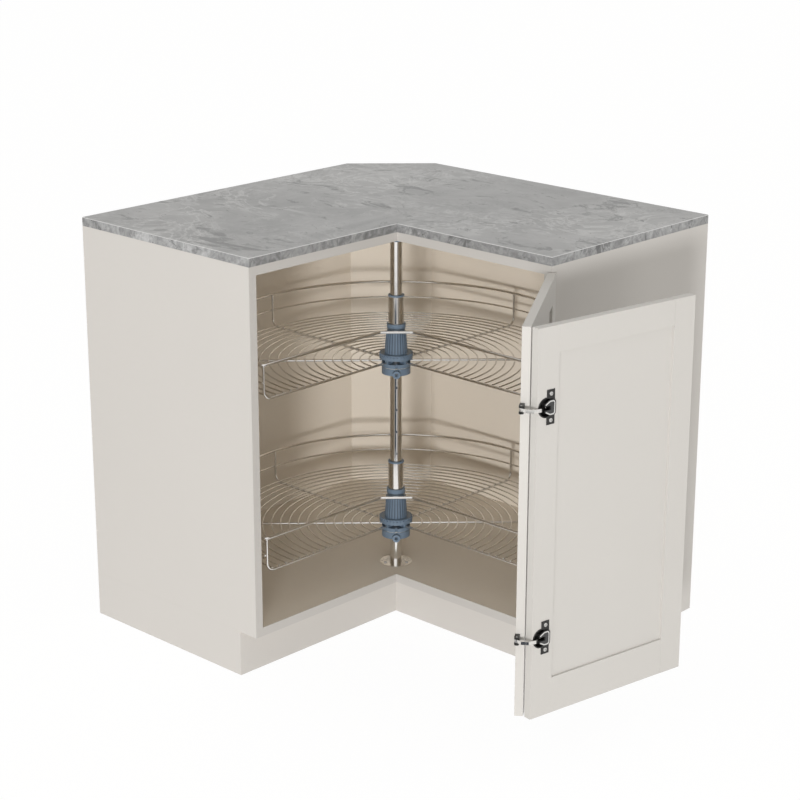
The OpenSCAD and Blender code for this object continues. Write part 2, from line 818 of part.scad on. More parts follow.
module leaf_b_rails() color(board_color) on_leaf_b() across() difference() {
    leaf_rails();
    leaf_centre(hole_fit);
}

module leaf_b_panel() color(board_color) on_leaf_b() across() leaf_centre(0);

// ---------- Cabinet hinges ----------

hinge_screw_r = 1.4;
hinge_screw_depth = 13;
screw_head_r = 3;
screw_head_h = 0.5;
// Half the spacing of a plate's two screws, as a share of the barrel
plate_screw_share = 0.3;
cabinet_screw_inset = 7;
knuckle = barrel_length / 3;
knuckle_gap = 0.4;
barrel_room = 1.6;
door_plate_w = 13;
door_plate_inset = 1.5;
door_screw_inset = 9;
door_head_r = 2.5;
door_head_h = 0.4;
// How far the door's knuckle reaches into its plate
door_web = 0.4;
pin_cap = 1;
pin_cap_r = 3;

module at_hinge() { translate([hinge_x, hinge_y, 0]) children(); }

// The cabinet's plate lies on the front edge of the end panel, within the gap behind the leaf
module cabinet_plate() {
    face = -arm_depth;
    difference() {
        union() {
            block([inner_side + 1, face - plate_thickness, -barrel_length / 2],
                [hinge_x - 1, face, barrel_length / 2]);
            for (side = [-1, 1]) at_hinge() translate([0, 0, side * knuckle - knuckle / 2]) {
                cylinder(r = barrel_r, h = knuckle);
                block([-2, 0, 0], [2, -hinge_y + face, knuckle]);
            }
        }
        // Room for the door's knuckle, and the holes
        at_hinge() translate([0, 0, -knuckle / 2 - knuckle_gap])
            cylinder(r = barrel_r + barrel_room, h = knuckle + 2 * knuckle_gap);
        at_hinge() translate([0, 0, -barrel_length]) cylinder(r = pin_r + hole_fit, h = 2 * barrel_length);
        cabinet_plate_screws() translate([0, 0, -plate_thickness])
            shank_hole(hinge_screw_r, plate_thickness + 1);
    }
}

// Screws of the cabinet's plate go into the end panel's front edge, along +Y
module cabinet_plate_screws() {
    for (side = [-1, 1])
        translate([inner_side + cabinet_screw_inset, -arm_depth, side * barrel_length * plate_screw_share])
            rotate([-90, 0, 0]) children();
}

module cabinet_hinge_plates() color(steel) for (z = hinge_heights) translate([0, 0, z]) cabinet_plate();

module cabinet_hinge_screws() color(steel) for (z = hinge_heights) translate([0, 0, z])
    cabinet_plate_screws() translate([0, 0, -plate_thickness - screw_head_h])
        screw(screw_head_r, screw_head_h, hinge_screw_r, plate_thickness + hinge_screw_depth - 1);

module hinge_pins() color(steel) for (z = hinge_heights) at_hinge()
    translate([0, 0, z - barrel_length / 2 - pin_cap]) {
        cylinder(r = pin_r, h = barrel_length + 2 * pin_cap);
        for (end = [0, barrel_length + pin_cap])
            translate([0, 0, end]) cylinder(r = pin_cap_r, h = pin_cap);
    }

// The door's plate is let into the leaf's edge
module door_plate_body(fit) {
    edge = -leaf_in - door_plate_inset;
    block([leaf_far - plate_thickness - fit, edge - door_plate_w - fit, -barrel_length / 2 - fit],
        [leaf_far + 0.01 * sign(fit), edge + fit, barrel_length / 2 + fit]);
}

module door_plate_screws() {
    for (side = [-1, 1])
        translate([leaf_far, -leaf_in - door_screw_inset, side * barrel_length * plate_screw_share])
            children();
}

module door_plate() {
    difference() {
        union() {
            door_plate_body(0);
            at_hinge() translate([0, 0, -knuckle / 2]) {
                cylinder(r = barrel_r, h = knuckle);
                block([-hinge_off - door_web, -1.5, 0], [0, 0.3, knuckle]);
            }
        }
        at_hinge() translate([0, 0, -barrel_length]) cylinder(r = pin_r + pin_play, h = 2 * barrel_length);
        door_plate_screws() translate([eps, 0, 0]) rotate([0, -90, 0])
            shank_hole(hinge_screw_r, plate_thickness + 1);
    }
}

module door_hinge_plates() color(steel) on_leaf_a() for (z = hinge_heights)
    translate([0, 0, z]) door_plate();

module door_hinge_screws() color(steel) on_leaf_a() for (z = hinge_heights) translate([0, 0, z])
    door_plate_screws() translate([door_head_h, 0, 0]) rotate([0, -90, 0])
        screw(door_head_r, door_head_h, hinge_screw_r, hinge_screw_depth - 1);

// ---------- Fold hinges, with the leaves closed ----------

fold_h = 15;
arm_h = 6.6;
slot_play = 0.4;
block_nose_r = 4.5;
block_screw_r = 1.4;
block_screw_depth = 14;
block_head_r = 2.3;
block_head_h = 1.5;
block_head_room = 8;
arm_thickness = 2.4;
arm_eye_r = 3.2;
arm_tip_r = 2;
// Corners of the arched arm, from its pin to its tip in the cup, measured from the leaves' inner corner
arm_run = [[3.5, -3.5], [-8, -8], [-14, -20], [-12, -34], [5, -48]];

// The block sits on leaf A's end and carries the arm's pin between two cheeks
module fold_block() {
    difference() {
        union() {
            block([arm_axis + 2, -arm_axis - block_nose_r, -fold_h / 2],
                [leaf_end, -arm_axis + block_nose_r, fold_h / 2]);
            translate([arm_axis, -arm_axis, -fold_h / 2]) cylinder(r = block_nose_r, h = fold_h);
        }
        // The slot for the arm
        block([arm_axis - 20, -arm_axis - 20, -arm_h / 2 - slot_play],
            [arm_axis + 5, -arm_axis + 20, arm_h / 2 + slot_play]);
        translate([arm_axis, -arm_axis, -fold_h]) cylinder(r = pin_r + hole_fit, h = 2 * fold_h);
        block_screw_places() translate([-block_screw_web, 0, 0]) rotate([0, 90, 0])
            shank_hole(block_screw_r, block_screw_web + 1);
        block_screw_places() translate([-block_screw_web - block_head_room, 0, 0]) rotate([0, 90, 0])
            cylinder(r = block_head_r + eps, h = block_head_room);
    }
}

// Screws of the block go into leaf A's end, along +X
block_screw_web = 4;
module block_screw_places() {
    translate([leaf_end, -arm_axis, 0]) children();
}

module fold_hinge_blocks() color(black) on_leaf_a() for (z = hinge_heights)
    translate([0, 0, z]) fold_block();

module fold_hinge_block_screws() color(steel) on_leaf_a() for (z = hinge_heights) translate([0, 0, z])
    block_screw_places() translate([-block_screw_web - block_head_h, 0, 0]) rotate([0, 90, 0])
        screw(block_head_r, block_head_h, block_screw_r, block_screw_web + block_screw_depth - 1);

module fold_hinge_pins() color(steel) on_leaf_a() for (z = hinge_heights)
    translate([arm_axis, -arm_axis, z - fold_h / 2]) cylinder(r = pin_r, h = fold_h);

// Unit step to the left of the way from one point to the next
function left_of(from, to) = [from[1] - to[1], to[0] - from[0]] / norm(to - from);
// Step from a bend of the run to the corner of a strip one unit wide on its left side
function bend_step(run, k) =
    let (last = len(run) - 1)
    let (before = left_of(run[max(k - 1, 0)], run[max(k, 1)]))
    let (after = left_of(run[min(k, last - 1)], run[min(k + 1, last)]))
    (before + after) / (1 + before * after);
function strip_side(run, off) = [for (k = [0 : len(run) - 1]) run[k] + off * bend_step(run, k)];
function backward(list) = [for (k = [len(list) - 1 : -1 : 0]) list[k]];

// The arm is a bent flat strip; its eye turns on the pin and its tip ends in the cup
module fold_arm() {
    tip = arm_run[len(arm_run) - 1];
    half = arm_thickness / 2;
    difference() {
        translate([leaf_in, -leaf_in, -arm_h / 2]) union() {
            translate([arm_axis - leaf_in, leaf_in - arm_axis, 0]) cylinder(r = arm_eye_r, h = arm_h);
            linear_extrude(arm_h)
                polygon(concat(strip_side(arm_run, half), backward(strip_side(arm_run, -half))));
            translate([tip[0], tip[1], 0]) cylinder(r = arm_tip_r, h = arm_h);
        }
        translate([arm_axis, -arm_axis, -fold_h]) cylinder(r = pin_r + pin_play, h = 2 * fold_h);
    }
}

module fold_hinge_arms() color(steel) on_arm() for (z = hinge_heights) translate([0, 0, z]) fold_arm();

// The cup's mouth on leaf A's mirror image: the children's +Z goes into the leaf
module at_cup() { translate([leaf_end + cup_inset, -leaf_in, 0]) rotate([90, 0, 0]) children(); }

cup_wall = 1;
cup_screw_r = 1.8;
cup_screw_depth = 12;
cup_head_r = 4;
cup_head_h = 1.5;
wing_w = 18;
wing_h = 64;
wing_off = 10;
// The cam's axis, from the cup's middle away from the fold and into the leaf
cam_along = 4.93;
cam_deep = 13.72;
cam_r = 7.15;
cam_width = 10;

module cup_screw_places() {
    for (side = [-0.5, 0.5]) translate([wing_off, side * cup_screw_spacing, 0]) children();
}

module fold_cup() {
    difference() {
        union() {
            cylinder(r = cup_r, h = cup_depth);
            translate([0, 0, -plate_thickness]) cylinder(r = cup_r + 1, h = plate_thickness);
            block([wing_off - wing_w / 2, -wing_h / 2, -plate_thickness],
                [wing_off + wing_w / 2, wing_h / 2, 0]);
        }
        translate([0, 0, -plate_thickness - eps])
            cylinder(r = cup_r - cup_wall, h = plate_thickness + cup_depth - cup_wall + eps);
        cup_screw_places() translate([0, 0, -plate_thickness]) shank_hole(cup_screw_r, plate_thickness + 1);
    }
    // The rounded cam that the arm's tip slides round as the leaf folds
    intersection() {
        translate([cam_along, 0, cam_deep]) rotate([90, 0, 0])
            cylinder(r = cam_r, h = cam_width, center = true);
        cylinder(r = cup_r - cup_wall, h = cup_depth - cup_wall / 2);
    }
}

module fold_hinge_cups() color(black) on_leaf_b() across() for (z = hinge_heights) translate([0, 0, z])
    at_cup() fold_cup();

// A dark cover over the cup, on the wing plate, with a slot that the arm moves in
cover_h = 4;
cover_slot = 3.8;
cover_slot_end = 7.2;
// One half of its outline, from the slot's mouth to the far edge: along the leaf and half its height
cover_half = [[-6, 3.8], [-6, 7], [-5, 8], [3.6, 13.3], [6, 14], [14.5, 14], [17.5, 12.4], [18.5, 9.5]];
module fold_cover() {
    other_half = [for (k = [len(cover_half) - 1 : -1 : 0]) [cover_half[k][0], -cover_half[k][1]]];
    slot = [[cover_slot_end, -cover_slot], [cover_slot_end, cover_slot]];
    translate([0, 0, -plate_thickness - cover_h]) linear_extrude(cover_h)
        polygon(concat(cover_half, other_half, slot));
}

module fold_hinge_covers() color([0.15, 0.15, 0.15]) on_leaf_b() across() for (z = hinge_heights)
    translate([0, 0, z]) at_cup() fold_cover();

module fold_hinge_cup_screws() color(steel) on_leaf_b() across() for (z = hinge_heights)
    translate([0, 0, z]) at_cup() cup_screw_places() translate([0, 0, -plate_thickness - cup_head_h])
        screw(cup_head_r, cup_head_h, cup_screw_r, plate_thickness + cup_screw_depth - 1);

// ---------- What is drawn ----------

end_panel_left();
end_panel_right();
back_panel_left();
back_panel_rear();
back_panel_diagonal();
base_panel();
top_panel();
dowels();
plinth_front_left();
plinth_front_right();
plinth_end_left();
plinth_end_right();
plinth_clips();
leg_sockets();
leg_feet();
leg_screws();
worktop();
worktop_screws();
post();
floor_flange();
floor_flange_screws();
top_socket();
top_socket_screws();
collar_lower();
collar_upper();
collar_screws();
bearing_washer_lower();
bearing_washer_upper();
hub_lower();
sleeve_lower();
sleeve_cap_lower();
basket_lower();
hub_upper();
sleeve_upper();
sleeve_cap_upper();
basket_upper();
leaf_a_stiles();
leaf_a_rails();
leaf_a_panel();
leaf_b_stiles();
leaf_b_rails();
leaf_b_panel();
cabinet_hinge_plates();
cabinet_hinge_screws();
hinge_pins();
door_hinge_plates();
door_hinge_screws();
fold_hinge_blocks();
fold_hinge_pins();
fold_hinge_block_screws();
fold_hinge_arms();
fold_hinge_cups();
fold_hinge_covers();
fold_hinge_cup_screws();
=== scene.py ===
"""Corner base cabinet with an L-shaped worktop, two wire baskets that turn on a post,
and two door leaves that fold on each other. Metres, +X right, +Y to the back wall, +Z up."""

import math

import bmesh
import bpy
from mathutils import Matrix, Vector


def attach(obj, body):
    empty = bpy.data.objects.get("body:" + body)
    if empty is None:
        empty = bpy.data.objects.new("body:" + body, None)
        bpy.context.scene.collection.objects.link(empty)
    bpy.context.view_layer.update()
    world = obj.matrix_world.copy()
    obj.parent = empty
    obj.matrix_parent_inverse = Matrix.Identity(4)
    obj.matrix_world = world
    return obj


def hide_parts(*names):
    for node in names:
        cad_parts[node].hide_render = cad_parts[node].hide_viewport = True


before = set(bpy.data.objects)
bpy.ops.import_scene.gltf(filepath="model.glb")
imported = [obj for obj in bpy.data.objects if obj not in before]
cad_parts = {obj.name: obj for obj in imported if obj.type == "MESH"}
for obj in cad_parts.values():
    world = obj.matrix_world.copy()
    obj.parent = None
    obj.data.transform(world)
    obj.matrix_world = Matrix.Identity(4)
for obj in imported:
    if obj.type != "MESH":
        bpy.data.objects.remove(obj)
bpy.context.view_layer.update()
MM = 0.001


# ---------------------------------------------------------------- Camera
# The photograph looks down on the open corner from above eye height, from well in front of it,
# through a long lens that keeps the upright edges almost parallel.
CAMERA_PLACE = Vector((3.33701, -3.47233, 1.82276))
CAMERA_HEADING = 133.5782
CAMERA_TILT = -17.8477
CAMERA_ROLL = 0.1057
CAMERA_LENS = 94.608
SENSOR_WIDTH = 36
SEES_TO = 60

heading, tilt, roll = (math.radians(v) for v in (CAMERA_HEADING, CAMERA_TILT, CAMERA_ROLL))
look = Vector((math.cos(heading) * math.cos(tilt), math.sin(heading) * math.cos(tilt),
               math.sin(tilt)))
level_right = look.cross(Vector((0, 0, 1))).normalized()
level_up = level_right.cross(look)
right = level_right * math.cos(roll) + level_up * math.sin(roll)
up = level_up * math.cos(roll) - level_right * math.sin(roll)
camera = bpy.data.objects.new("camera", bpy.data.cameras.new("camera"))
camera.data.sensor_width = SENSOR_WIDTH
camera.data.lens = CAMERA_LENS
camera.data.clip_end = SEES_TO
camera.matrix_world = Matrix.Translation(CAMERA_PLACE) @ Matrix(
    [[right[i], up[i], -look[i]] for i in range(3)]).to_4x4()
bpy.context.collection.objects.link(camera)
bpy.context.scene.camera = camera


# ---------------------------------------------------------------- Studio
# A white cove lit by its own soft glow, a distant front lamp and a weaker one further right.
# The floor is pale and matt. Two cards on it, seen only in the bright metal, give the post its
# dark and grey stripes.
bpy.context.scene.view_settings.view_transform = "Standard"


def nodes_of(tree):
    """Clears a node tree; returns a short way to add nodes, their sockets filled or linked."""
    tree.nodes.clear()

    def add(kind, **values):
        node = tree.nodes.new(kind)
        for key, value in values.items():
            if key.startswith("in_"):
                socket = key[3:]
                socket = node.inputs[int(socket) if socket.isdigit() else socket.replace("_", " ")]
                if isinstance(value, bpy.types.NodeSocket):
                    tree.links.new(value, socket)
                else:
                    socket.default_value = value
            else:
                setattr(node, key, value)
        return node

    return add


def reckon(add, operation, *values):
    """One step of arithmetic on sockets or numbers."""
    return add("ShaderNodeMath", operation=operation,
               **{f"in_{n}": value for n, value in enumerate(values)}).outputs[0]


def background_ray(add):
    """1 for the rays that should see the white background, 0 for those that light the object."""
    rays = add("ShaderNodeLightPath").outputs
    seen = reckon(add, "MAXIMUM", rays["Is Camera Ray"], rays["Is Glossy Ray"])
    return reckon(add, "MAXIMUM", seen, rays["Is Transmission Ray"])


# The cove lights the object less near the horizon than above it
COVE_TINT = (1.0, 0.975, 0.92)
HORIZON_LIGHT, OVERHEAD_LIGHT = 0.31, 0.86
HORIZON_ENDS, OVERHEAD_STARTS = 0.35, 0.95
world = bpy.data.worlds.new("studio")
bpy.context.scene.world = world
world.use_nodes = True
add = nodes_of(world.node_tree)
height = add("ShaderNodeSeparateXYZ", in_0=add("ShaderNodeTexCoord").outputs["Generated"])
rising = add("ShaderNodeMapRange", in_Value=height.outputs[2], in_1=HORIZON_ENDS,
             in_2=OVERHEAD_STARTS, in_3=HORIZON_LIGHT, in_4=OVERHEAD_LIGHT)
light = add("ShaderNodeBackground", in_Color=(*COVE_TINT, 1), in_Strength=rising.outputs[0])
white = add("ShaderNodeBackground", in_Color=(1, 1, 1, 1), in_Strength=1.0)
both = add("ShaderNodeMixShader", in_0=background_ray(add), in_1=light.outputs[0],
           in_2=white.outputs[0])
add("ShaderNodeOutputWorld", in_Surface=both.outputs[0])


def stage_piece(name, bm):
    """Turns a bmesh into a part of the studio; returns it with the way to fill its material."""
    data = bpy.data.meshes.new(name)
    bm.to_mesh(data)
    bm.free()
    thing = bpy.data.objects.new(name, data)
    bpy.context.collection.objects.link(thing)
    material = bpy.data.materials.new(name)
    material.use_nodes = True
    data.materials.append(material)
    return thing, nodes_of(material.node_tree)


# The floor shows almost white, so it glows strongly for the camera and faintly for the object
FLOOR_RADIUS = 14
FLOOR_TONE = (0.86, 0.855, 0.845)
FLOOR_GLOW, GLOW_SEEN, GLOW_LIGHTING = 1.03, 0.93, 0.14
floor_mesh = bmesh.new()
bmesh.ops.create_circle(floor_mesh, cap_ends=True, segments=64, radius=FLOOR_RADIUS)
floor, add = stage_piece("floor", floor_mesh)
matt = add("ShaderNodeBsdfDiffuse", in_Color=(*FLOOR_TONE, 1))
glow = add("ShaderNodeEmission", in_Color=(1, 1, 1, 1), in_Strength=FLOOR_GLOW)
pale = add("ShaderNodeMixShader", in_0=GLOW_SEEN, in_1=matt.outputs[0], in_2=glow.outputs[0])
lit = add("ShaderNodeMixShader", in_0=GLOW_LIGHTING, in_1=matt.outputs[0], in_2=glow.outputs[0])
shown = add("ShaderNodeMixShader", in_0=background_ray(add), in_1=lit.outputs[0],
            in_2=pale.outputs[0])
add("ShaderNodeOutputMaterial", in_Surface=shown.outputs[0])

# Both lamps point at the middle of the cabinet
LIT_POINT = Vector((0.45, -0.45, 0.45))
for name, stand, size, watts in (("front_lamp", (6.70, -8.55, 0.95), 1.3, 560),
                                 ("right_lamp", (7.5, -4.5, 1.0), 2.0, 38)):
    lamp = bpy.data.lights.new(name, "AREA")
    lamp.shape = "DISK"
    lamp.size = size
    lamp.energy = watts
    holder = bpy.data.objects.new(name, lamp)
    holder.location = stand
    holder.rotation_euler = (LIT_POINT - Vector(stand)).to_track_quat("-Z", "Y").to_euler()
    holder.visible_glossy = False
    bpy.context.collection.objects.link(holder)

# The cards are sectors of a ring on the floor round the post, by degrees from +X
POST_X, POST_Y = 446 * MM, -446 * MM
CARD_NEAR, CARD_FAR, CARD_RISE = 0.95, 2.6, 0.012
for name, first, last, tone in (("dark_card", -68, -38, (0.055, 0.065, 0.085)),
                                ("grey_card", -112, -68, (0.33, 0.31, 0.28))):
    card_mesh = bmesh.new()
    outward = Vector((math.cos(math.radians(first)), math.sin(math.radians(first)), 0))
    ends = [card_mesh.verts.new(Vector((POST_X, POST_Y, CARD_RISE)) + outward * reach)
            for reach in (CARD_NEAR, CARD_FAR)]
    bmesh.ops.spin(card_mesh, geom=[*ends, card_mesh.edges.new(ends)], cent=(POST_X, POST_Y, 0),
                   axis=(0, 0, 1), angle=math.radians(last - first), steps=last - first)
    card, add = stage_piece(name, card_mesh)
    card.visible_camera = card.visible_diffuse = card.visible_shadow = False
    card_tone = add("ShaderNodeEmission", in_Color=(*tone, 1), in_Strength=1.0)
    add("ShaderNodeOutputMaterial", in_Surface=card_tone.outputs[0])


# ---------------------------------------------------------------- Carcass boards
# The box is made of 18 mm chipboard faced with off-white melamine of a fine pearl texture.
# The front edges carry a 1 mm plastic band; the boards are glued and dowelled.
OUTSIDE = (0.665, 0.640, 0.612)
# The inside faces take a lighter, warmer copy of the facing: painted light for the warm light
# bounced round the box
INSIDE_WITH_PAINTED_LIGHT = (0.815, 0.745, 0.650)
# The first darkens the front bands: painted shade for the shadow under the worktop and the weaker
# light on the arms' side fronts. The second darkens the band's hairline seam
BAND_PAINTED_SHADE, SEAM_SHADE = 0.87, 0.5
END_FACE = 899.5 * MM
FRONT_EDGE = 498 * MM
BAND = 1.0 * MM
SEAM_DARK, SEAM_GONE = 0.04 * MM, 0.12 * MM
BOARD_EASE = 0.35 * MM
MERGE_WITHIN = 0.002 * MM
FLAT_WITHIN, EASED_FROM = 0.6, 30


def to_piece(name, bm, body, slot, material, replaced=(), smooth=35):
    """Turns a bmesh into a piece that rides on a body; gentler turns are shaded smooth."""
    mesh = bpy.data.meshes.new(name)
    bm.to_mesh(mesh)
    bm.free()
    mesh.polygons.foreach_set("use_smooth", [True] * len(mesh.polygons))
    mesh.set_sharp_from_angle(angle=math.radians(smooth))
    mesh.materials.append(material)
    piece = bpy.data.objects.new(name, mesh)
    bpy.context.collection.objects.link(piece)
    # Large faces rule the shading, so that the eased edges don't tilt it
    weighted = piece.modifiers.new("weighted_normals", "WEIGHTED_NORMAL")
    weighted.keep_sharp = True
    weighted.weight = 80
    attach(piece, body)
    if replaced:
        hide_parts(*replaced)


def merged_copy(node):
    """The CAD node's shape as one clean mesh: doubles merged and flat faces joined."""
    bm = bmesh.new()
    bm.from_mesh(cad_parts[node].data)
    bmesh.ops.remove_doubles(bm, verts=bm.verts, dist=MERGE_WITHIN)
    bmesh.ops.dissolve_limit(bm, angle_limit=math.radians(FLAT_WITHIN), verts=bm.verts,
                             edges=bm.edges, delimit={"NORMAL"})
    return bm


def ease_edges(bm, width, steps=2):
    """Rounds the sharp edges, as a tool or a mould leaves them."""
    sharp = [e for e in bm.edges if len(e.link_faces) == 2
             and e.calc_face_angle(0) > math.radians(EASED_FROM)]
    bmesh.ops.bevel(bm, geom=sharp, offset=width, offset_type="OFFSET", affect="EDGES",
                    segments=steps, profile=0.5, clamp_overlap=True, material=-1)


def finish(name, colour, rough, metal=0.0, **sockets):
    """A material with its shader; returns it with the short way to add nodes and the shader."""
    material = bpy.data.materials.new(name)
    material.use_nodes = True
    material.diffuse_color = (*colour, 1)
    add = nodes_of(material.node_tree)
    shader = add("ShaderNodeBsdfPrincipled", in_Base_Color=(*colour, 1), in_Roughness=rough,
                 in_Metallic=metal)
    for key, value in sockets.items():
        shader.inputs[key.replace("_", " ")].default_value = value
    add("ShaderNodeOutputMaterial", in_Surface=shader.outputs[0])
    return material, add, shader


def place(add, stretch=(1, 1, 1), turn=(0, 0, 0)):
    """Object coordinates, stretched or turned."""
    here = add("ShaderNodeTexCoord")
    return add("ShaderNodeMapping", in_Vector=here.outputs["Object"], in_Scale=stretch,
               in_Rotation=turn).outputs[0]


def grain(add, where, scale, detail=2.0, rough=0.5, twist=0.0):
    """Noise from 0 to 1, with so many grains to the metre."""
    return add("ShaderNodeTexNoise", in_Vector=where, in_Scale=scale, in_Detail=detail,
               in_Roughness=rough, in_Distortion=twist).outputs["Fac"]


def blend_between(add, factor, low, high, first=(0, 0, 0), second=(1, 1, 1)):
    """Spreads a factor from low to high over two colours."""
    ramp = add("ShaderNodeValToRGB", in_Fac=factor)
    ramp.color_ramp.elements[0].position, ramp.color_ramp.elements[1].position = low, high
    ramp.color_ramp.elements[0].color = (*first, 1)
    ramp.color_ramp.elements[1].color = (*second, 1)
    return ramp.outputs["Color"]


def between(add, factor, low, high, to_low, to_high):
    """Maps the range from low to high onto another range, held at its ends."""
    return add("ShaderNodeMapRange", in_Value=factor, in_1=low, in_2=high, in_3=to_low,
               in_4=to_high).outputs[0]


def shade(colour, share):
    """The colour made darker or lighter."""
    return tuple(min(1.0, c * share) for c in colour)


def lay(add, below, above, factor, blend_type="MIX"):
    """One colour laid over another."""
    mix = add("ShaderNodeMix", data_type="RGBA", blend_type=blend_type)
    tree = mix.id_data
    for slot, value in ((0, factor), (6, below), (7, above)):
        if isinstance(value, bpy.types.NodeSocket):
            tree.links.new(value, mix.inputs[slot])
        else:
            mix.inputs[slot].default_value = (*value, 1) if slot else value
    return mix.outputs[2]


def join(output, shader, socket):
    """Links a value to one of the shader's sockets."""
    shader.id_data.links.new(output, shader.inputs[socket])


def relief(add, shader, height, depth, strength=1.0):
    """Gives the surface a bump of a real depth, in metres."""
    bump = add("ShaderNodeBump", in_Height=height, in_Distance=depth, in_Strength=strength)
    join(bump.outputs[0], shader, "Normal")


def melamine(name, all_outside):
    """Facing with the outside's colour on the ends; a darker copy of it on the front bands is
    painted shade, and a lighter, warmer copy inside is painted light.
    """
    material, add, shader = finish(name, OUTSIDE, 0.42, IOR=1.46)
    spot = place(add)
    clouds = blend_between(add, grain(add, spot, 2.2, 3), 0.3, 0.7, (0.985,) * 3, (1.0,) * 3)
    specks = grain(add, spot, 1100, 2)
    axes = add("ShaderNodeSeparateXYZ", in_0=spot).outputs
    # How far a point lies in front of the arms' open fronts, below 0 inside the box
    front = reckon(add, "MINIMUM", reckon(add, "SUBTRACT", axes[0], FRONT_EDGE),
                   reckon(add, "MULTIPLY_ADD", axes[1], -1.0, -FRONT_EDGE))
    banded = reckon(add, "GREATER_THAN", front, -BAND)
    ends = reckon(add, "MAXIMUM", reckon(add, "GREATER_THAN", axes[0], END_FACE),
                  reckon(add, "LESS_THAN", axes[1], -END_FACE))
    outer = 1.0 if all_outside else reckon(add, "MAXIMUM", ends, banded)
    # Inside the box the facing turns lighter and warmer, as painted light
    facing_with_painted_light = lay(add, lay(add, INSIDE_WITH_PAINTED_LIGHT, OUTSIDE, outer), clouds, 1.0, "MULTIPLY")
    if not all_outside:
        # Painted shade: the front bands take a darker copy of the outside's colour
        facing_with_painted_light = lay(add, facing_with_painted_light, shade(OUTSIDE, BAND_PAINTED_SHADE), banded)
    faced = lay(add, facing_with_painted_light, (0.93,) * 3, between(add, specks, 0.62, 0.78, 0, 0.35), "MULTIPLY")
    # The hairline where the band meets the face
    seam = reckon(add, "ABSOLUTE", reckon(add, "ADD", front, BAND))
    line = between(add, seam, SEAM_DARK, SEAM_GONE, 0.5, 0.0)
    join(lay(add, faced, shade(OUTSIDE, SEAM_SHADE), line), shader, "Base Color")
    join(between(add, grain(add, spot, 40, 3), 0.3, 0.7, 0.38, 0.47), shader, "Roughness")
    relief(add, shader, specks, 0.06 * MM, 0.6)
    return material


board_finish = melamine("carcass_melamine", False)
for node in ("end_panel_left", "end_panel_right", "back_panel_left", "back_panel_rear",
             "back_panel_diagonal", "base_panel", "top_panel"):
    bm = merged_copy(node)
    ease_edges(bm, BOARD_EASE)
    to_piece(node + "_board", bm, "cabinet", "board", board_finish, [node])


# ---------------------------------------------------------------- Dowels
# Fluted 8 mm beech dowels, glued into the ends of the boards. They are hidden in the joints.
# The wood is pale, with short dark flecks along the grain.
BEECH = (0.60, 0.40, 0.22)


def turned_beech():
    material, add, shader = finish("turned_beech", BEECH, 0.6)
    along = place(add, (60, 60, 60))
    rings = grain(add, along, 3.0, 4, 0.6, 0.4)
    flecks = grain(add, place(add, (900, 900, 120)), 1.0, 2)
    wood = blend_between(add, rings, 0.3, 0.7, shade(BEECH, 0.85), shade(BEECH, 1.12))
    join(lay(add, wood, shade(BEECH, 0.5), between(add, flecks, 0.64, 0.74, 0, 0.6)), shader,
         "Base Color")
    join(between(add, rings, 0.3, 0.7, 0.5, 0.7), shader, "Roughness")
    relief(add, shader, flecks, 0.1 * MM)
    return material


def dress(node, material):
    """Gives a carried-over CAD node its finish."""
    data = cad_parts[node].data
    for index in range(len(data.materials)):
        data.materials[index] = material
    if not data.materials:
        data.materials.append(material)


dress("dowels", turned_beech())


# ---------------------------------------------------------------- Plinth
# Four boards of the carcass's melamine stand on the floor: two set back below the open fronts
# and one below each end panel. Spring clips on the legs hold the fronts, so they pull off.
plinth_finish = melamine("plinth_melamine", True)
for node in ("plinth_front_left", "plinth_front_right", "plinth_end_left", "plinth_end_right"):
    bm = merged_copy(node)
    ease_edges(bm, BOARD_EASE)
    to_piece(node + "_board", bm, "cabinet", "board", plinth_finish, [node])


# ---------------------------------------------------------------- Legs
# Eight black moulded legs: a flanged socket screwed below the base, and a foot that turns in it
# for height. The same plastic makes the spring clips of the plinth boards.
BLACK_PLASTIC = (0.022, 0.022, 0.024)
MOULD_EASE = 0.4 * MM
# How dark the painted shade in a moulding's grooves is
GROOVE_PAINTED_SHADE = 0.3


def moulded(name, colour, rough, painted_groove_shade=None, **sockets):
    """Moulded plastic: a fine spark-eroded texture with a slightly uneven gloss, and painted shade
    in its grooves where a mask for them is given.
    """
    material, add, shader = finish(name, colour, rough, **sockets)
    spot = place(add)
    texture = grain(add, spot, 1400, 3, 0.6)
    flow = grain(add, spot, 28, 3, 0.5, 0.6)
    skin = blend_between(add, flow, 0.25, 0.75, shade(colour, 0.93), shade(colour, 1.07))
    # Painted shade in the grooves, where little light reaches
    if painted_groove_shade:
        skin = lay(add, skin, shade(colour, GROOVE_PAINTED_SHADE), painted_groove_shade(add))
    join(skin, shader, "Base Color")
    join(between(add, flow, 0.25, 0.75, rough - 0.08, rough + 0.08), shader, "Roughness")
    relief(add, shader, texture, 0.05 * MM)
    return material


black_plastic = moulded("black_leg_plastic", BLACK_PLASTIC, 0.45)
for node in ("leg_sockets", "leg_feet", "plinth_clips"):
    bm = merged_copy(node)
    ease_edges(bm, MOULD_EASE)
    to_piece(node + "_moulded", bm, "cabinet", "black_plastic", black_plastic, [node])


# ---------------------------------------------------------------- Worktop
# An L-shaped top, 18 mm thick, faced on top and edges with a grey stone pattern: soft clouds,
# light streaks, a few dark smudges and small pits. Its arris is broken by a narrow chamfer.
STONE = (0.415, 0.417, 0.422)
# The first is the edges' darkest mottle; the second lightens the arris as a painted highlight
EDGE_SHADE, ARRIS_PAINTED_HIGHLIGHT = 0.55, 1.75
SMUDGE_SHADE, PIT_SHADE = 0.46, 0.30
PIT_CELLS_TO_METRE = 95
STONE_EASE = 0.35 * MM
# Of each kind of streak: bent or not, size, curl, shade and how much of it shows
STREAKS = ((False, 5.5, 3.2, 1.65, 0.55), (True, 3.4, 2.6, 1.6, 0.5), (True, 9.0, 3.0, 0.62, 0.55))


